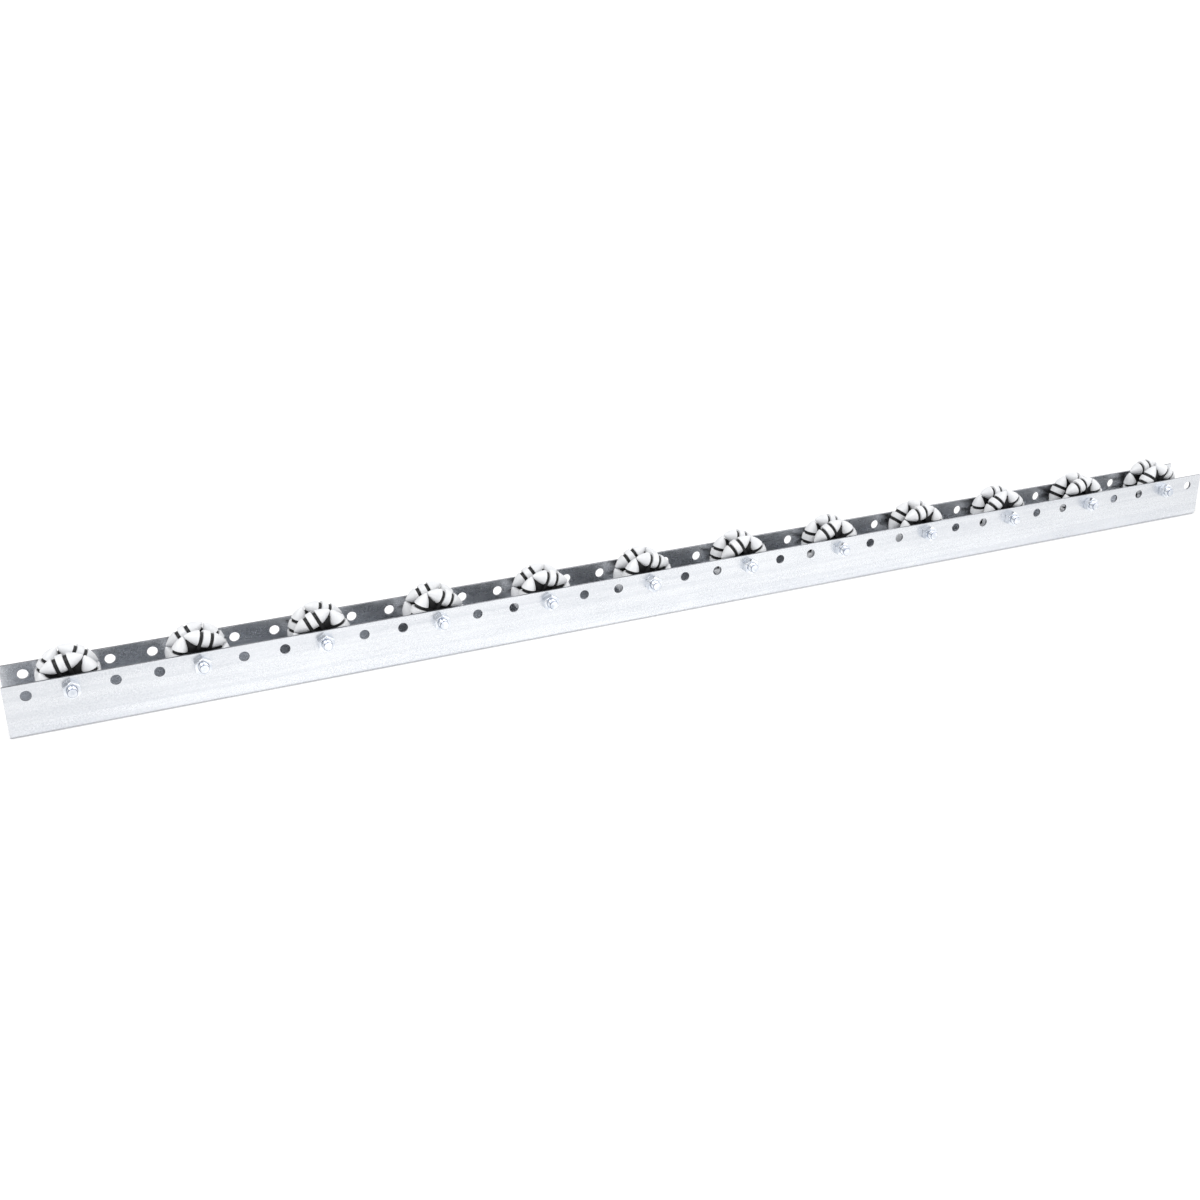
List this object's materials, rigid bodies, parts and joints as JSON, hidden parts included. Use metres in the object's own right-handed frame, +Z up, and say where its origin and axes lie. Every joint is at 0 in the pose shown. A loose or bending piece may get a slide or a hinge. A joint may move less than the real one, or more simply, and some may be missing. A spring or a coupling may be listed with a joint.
{
  "type": "flow rack roller track",
  "caption": "Straight U-shaped galvanised track, open at the top, with omni wheels on bolts that carry a load along the track and let it slide sideways.",
  "frame": {"origin": "middle of the channel's underside, halfway along its length", "axes": "+X along the track, +Y across it away from the nuts, +Z up out of the open side"},
  "size_m": [1.2, 0.0603, 0.06],
  "materials": {
    "galvanised_sheet": "bright galvanised sheet, satin, with a faint spangle",
    "zinc_plated_steel": "bright zinc plate",
    "black_plastic": "moulded, matt",
    "white_plastic": "moulded, satin"
  },
  "bodies": {
    "track": {"channel": "galvanised_sheet", "axle_bolts": "zinc_plated_steel", "axle_nuts": "zinc_plated_steel", "washers": "zinc_plated_steel", "axle_tubes": "zinc_plated_steel", "distance_rings": "zinc_plated_steel"},
    "wheel_01": {"wheel_01_body": "black_plastic", "wheel_01_other_barrels": "white_plastic"},
    "wheel_01_front_top_barrel": {"wheel_01_front_top_barrel": "white_plastic"},
    "wheel_01_back_top_barrel": {"wheel_01_back_top_barrel": "white_plastic"},
    "wheel_02": {"wheel_02_body": "black_plastic", "wheel_02_other_barrels": "white_plastic"},
    "wheel_02_front_top_barrel": {"wheel_02_front_top_barrel": "white_plastic"},
    "wheel_02_back_top_barrel": {"wheel_02_back_top_barrel": "white_plastic"},
    "wheel_03": {"wheel_03_body": "black_plastic", "wheel_03_other_barrels": "white_plastic"},
    "wheel_03_front_top_barrel": {"wheel_03_front_top_barrel": "white_plastic"},
    "wheel_03_back_top_barrel": {"wheel_03_back_top_barrel": "white_plastic"},
    "wheel_04": {"wheel_04_body": "black_plastic", "wheel_04_other_barrels": "white_plastic"},
    "wheel_04_front_top_barrel": {"wheel_04_front_top_barrel": "white_plastic"},
    "wheel_04_back_top_barrel": {"wheel_04_back_top_barrel": "white_plastic"},
    "wheel_05": {"wheel_05_body": "black_plastic", "wheel_05_other_barrels": "white_plastic"},
    "wheel_05_front_top_barrel": {"wheel_05_front_top_barrel": "white_plastic"},
    "wheel_05_back_top_barrel": {"wheel_05_back_top_barrel": "white_plastic"},
    "wheel_06": {"wheel_06_body": "black_plastic", "wheel_06_other_barrels": "white_plastic"},
    "wheel_06_front_top_barrel": {"wheel_06_front_top_barrel": "white_plastic"},
    "wheel_06_back_top_barrel": {"wheel_06_back_top_barrel": "white_plastic"},
    "wheel_07": {"wheel_07_body": "black_plastic", "wheel_07_other_barrels": "white_plastic"},
    "wheel_07_front_top_barrel": {"wheel_07_front_top_barrel": "white_plastic"},
    "wheel_07_back_top_barrel": {"wheel_07_back_top_barrel": "white_plastic"},
    "wheel_08": {"wheel_08_body": "black_plastic", "wheel_08_other_barrels": "white_plastic"},
    "wheel_08_front_top_barrel": {"wheel_08_front_top_barrel": "white_plastic"},
    "wheel_08_back_top_barrel": {"wheel_08_back_top_barrel": "white_plastic"},
    "wheel_09": {"wheel_09_body": "black_plastic", "wheel_09_other_barrels": "white_plastic"},
    "wheel_09_front_top_barrel": {"wheel_09_front_top_barrel": "white_plastic"},
    "wheel_09_back_top_barrel": {"wheel_09_back_top_barrel": "white_plastic"},
    "wheel_10": {"wheel_10_body": "black_plastic", "wheel_10_other_barrels": "white_plastic"},
    "wheel_10_front_top_barrel": {"wheel_10_front_top_barrel": "white_plastic"},
    "wheel_10_back_top_barrel": {"wheel_10_back_top_barrel": "white_plastic"},
    "wheel_11": {"wheel_11_body": "black_plastic", "wheel_11_other_barrels": "white_plastic"},
    "wheel_11_front_top_barrel": {"wheel_11_front_top_barrel": "white_plastic"},
    "wheel_11_back_top_barrel": {"wheel_11_back_top_barrel": "white_plastic"},
    "wheel_12": {"wheel_12_body": "black_plastic", "wheel_12_other_barrels": "white_plastic"},
    "wheel_12_front_top_barrel": {"wheel_12_front_top_barrel": "white_plastic"},
    "wheel_12_back_top_barrel": {"wheel_12_back_top_barrel": "white_plastic"}
  },
  "joints": [
    {"name": "wheel_01_spin", "type": "hinge", "parent": "track", "child": "wheel_01", "pos_m": [-0.55, -0.002, 0.035], "axis": [0, 1, 0], "continuous": true},
    {"name": "wheel_01_front_barrel_spin", "type": "hinge", "parent": "wheel_01", "child": "wheel_01_front_top_barrel", "pos_m": [-0.554, -0.0115, 0.05234], "axis": [-0.9744, 0, -0.225], "continuous": true},
    {"name": "wheel_01_back_barrel_spin", "type": "hinge", "parent": "wheel_01", "child": "wheel_01_back_top_barrel", "pos_m": [-0.54057, 0.0075, 0.0501], "axis": [-0.848, 0, 0.5299], "continuous": true},
    {"name": "wheel_02_spin", "type": "hinge", "parent": "track", "child": "wheel_02", "pos_m": [-0.45, -0.002, 0.035], "axis": [0, 1, 0], "continuous": true},
    {"name": "wheel_02_front_barrel_spin", "type": "hinge", "parent": "wheel_02", "child": "wheel_02_front_top_barrel", "pos_m": [-0.4442, -0.0115, 0.05183], "axis": [-0.9455, 0, 0.3256], "continuous": true},
    {"name": "wheel_02_back_barrel_spin", "type": "hinge", "parent": "wheel_02", "child": "wheel_02_back_top_barrel", "pos_m": [-0.4578, 0.0075, 0.051], "axis": [-0.8988, 0, -0.4384], "continuous": true},
    {"name": "wheel_03_spin", "type": "hinge", "parent": "track", "child": "wheel_03", "pos_m": [-0.35, -0.002, 0.035], "axis": [0, 1, 0], "continuous": true},
    {"name": "wheel_03_front_barrel_spin", "type": "hinge", "parent": "wheel_03", "child": "wheel_03_front_top_barrel", "pos_m": [-0.35724, -0.0115, 0.05126], "axis": [-0.9135, 0, -0.4067], "continuous": true},
    {"name": "wheel_03_back_barrel_spin", "type": "hinge", "parent": "wheel_03", "child": "wheel_03_back_top_barrel", "pos_m": [-0.34362, 0.0075, 0.05162], "axis": [-0.9336, 0, 0.3584], "continuous": true},
    {"name": "wheel_04_spin", "type": "hinge", "parent": "track", "child": "wheel_04", "pos_m": [-0.25, -0.002, 0.035], "axis": [0, 1, 0], "continuous": true},
    {"name": "wheel_04_front_barrel_spin", "type": "hinge", "parent": "wheel_04", "child": "wheel_04_front_top_barrel", "pos_m": [-0.24192, -0.0115, 0.05086], "axis": [-0.891, 0, 0.454], "continuous": true},
    {"name": "wheel_04_back_barrel_spin", "type": "hinge", "parent": "wheel_04", "child": "wheel_04_back_top_barrel", "pos_m": [-0.2555, 0.0075, 0.05193], "axis": [-0.9511, 0, -0.309], "continuous": true},
    {"name": "wheel_05_spin", "type": "hinge", "parent": "track", "child": "wheel_05", "pos_m": [-0.15, -0.002, 0.035], "axis": [0, 1, 0], "continuous": true},
    {"name": "wheel_05_front_barrel_spin", "type": "hinge", "parent": "wheel_05", "child": "wheel_05_front_top_barrel", "pos_m": [-0.1448, -0.0115, 0.05202], "axis": [-0.9563, 0, 0.2924], "continuous": true},
    {"name": "wheel_05_back_barrel_spin", "type": "hinge", "parent": "wheel_05", "child": "wheel_05_back_top_barrel", "pos_m": [-0.15836, 0.0075, 0.05072], "axis": [-0.8829, 0, -0.4695], "continuous": true},
    {"name": "wheel_06_spin", "type": "hinge", "parent": "track", "child": "wheel_06", "pos_m": [-0.05, -0.002, 0.035], "axis": [0, 1, 0], "continuous": true},
    {"name": "wheel_06_front_barrel_spin", "type": "hinge", "parent": "wheel_06", "child": "wheel_06_front_top_barrel", "pos_m": [-0.0445, -0.0115, 0.05193], "axis": [-0.9511, 0, 0.309], "continuous": true},
    {"name": "wheel_06_back_barrel_spin", "type": "hinge", "parent": "wheel_06", "child": "wheel_06_back_top_barrel", "pos_m": [-0.05808, 0.0075, 0.05086], "axis": [-0.891, 0, -0.454], "continuous": true},
    {"name": "wheel_07_spin", "type": "hinge", "parent": "track", "child": "wheel_07", "pos_m": [0.05, -0.002, 0.035], "axis": [0, 1, 0], "continuous": true},
    {"name": "wheel_07_front_barrel_spin", "type": "hinge", "parent": "wheel_07", "child": "wheel_07_front_top_barrel", "pos_m": [0.04137, -0.0115, 0.05057], "axis": [-0.8746, 0, -0.4848], "continuous": true},
    {"name": "wheel_07_back_barrel_spin", "type": "hinge", "parent": "wheel_07", "child": "wheel_07_back_top_barrel", "pos_m": [0.05491, 0.0075, 0.05211], "axis": [-0.9613, 0, 0.2756], "continuous": true},
    {"name": "wheel_08_spin", "type": "hinge", "parent": "track", "child": "wheel_08", "pos_m": [0.15, -0.002, 0.035], "axis": [0, 1, 0], "continuous": true},
    {"name": "wheel_08_front_barrel_spin", "type": "hinge", "parent": "wheel_08", "child": "wheel_08_front_top_barrel", "pos_m": [0.1411, -0.0115, 0.05042], "axis": [-0.866, 0, -0.5], "continuous": true},
    {"name": "wheel_08_back_barrel_spin", "type": "hinge", "parent": "wheel_08", "child": "wheel_08_back_top_barrel", "pos_m": [0.15461, 0.0075, 0.05219], "axis": [-0.9659, 0, 0.2588], "continuous": true},
    {"name": "wheel_09_spin", "type": "hinge", "parent": "track", "child": "wheel_09", "pos_m": [0.25, -0.002, 0.035], "axis": [0, 1, 0], "continuous": true},
    {"name": "wheel_09_front_barrel_spin", "type": "hinge", "parent": "wheel_09", "child": "wheel_09_front_top_barrel", "pos_m": [0.2463, -0.0115, 0.05241], "axis": [-0.9781, 0, -0.2079], "continuous": true},
    {"name": "wheel_09_back_barrel_spin", "type": "hinge", "parent": "wheel_09", "child": "wheel_09_back_top_barrel", "pos_m": [0.25969, 0.0075, 0.04993], "axis": [-0.8387, 0, 0.5446], "continuous": true},
    {"name": "wheel_10_spin", "type": "hinge", "parent": "track", "child": "wheel_10", "pos_m": [0.35, -0.002, 0.035], "axis": [0, 1, 0], "continuous": true},
    {"name": "wheel_10_front_barrel_spin", "type": "hinge", "parent": "wheel_10", "child": "wheel_10_front_top_barrel", "pos_m": [0.33809, -0.0115, 0.04823], "axis": [-0.7431, 0, -0.6691], "continuous": true},
    {"name": "wheel_10_back_barrel_spin", "type": "hinge", "parent": "wheel_10", "child": "wheel_10_back_top_barrel", "pos_m": [0.35093, 0.0075, 0.05278], "axis": [-0.9986, 0, 0.0523], "continuous": true},
    {"name": "wheel_11_spin", "type": "hinge", "parent": "track", "child": "wheel_11", "pos_m": [0.45, -0.002, 0.035], "axis": [0, 1, 0], "continuous": true},
    {"name": "wheel_11_front_barrel_spin", "type": "hinge", "parent": "wheel_11", "child": "wheel_11_front_top_barrel", "pos_m": [0.44391, -0.0115, 0.05173], "axis": [-0.9397, 0, -0.342], "continuous": true},
    {"name": "wheel_11_back_barrel_spin", "type": "hinge", "parent": "wheel_11", "child": "wheel_11_back_top_barrel", "pos_m": [0.45752, 0.0075, 0.05113], "axis": [-0.9063, 0, 0.4226], "continuous": true},
    {"name": "wheel_12_spin", "type": "hinge", "parent": "track", "child": "wheel_12", "pos_m": [0.55, -0.002, 0.035], "axis": [0, 1, 0], "continuous": true},
    {"name": "wheel_12_front_barrel_spin", "type": "hinge", "parent": "wheel_12", "child": "wheel_12_front_top_barrel", "pos_m": [0.55995, -0.0115, 0.04976], "axis": [-0.829, 0, 0.5592], "continuous": true},
    {"name": "wheel_12_back_barrel_spin", "type": "hinge", "parent": "wheel_12", "child": "wheel_12_back_top_barrel", "pos_m": [0.5466, 0.0075, 0.05247], "axis": [-0.9816, 0, -0.1908], "continuous": true}
  ]
}
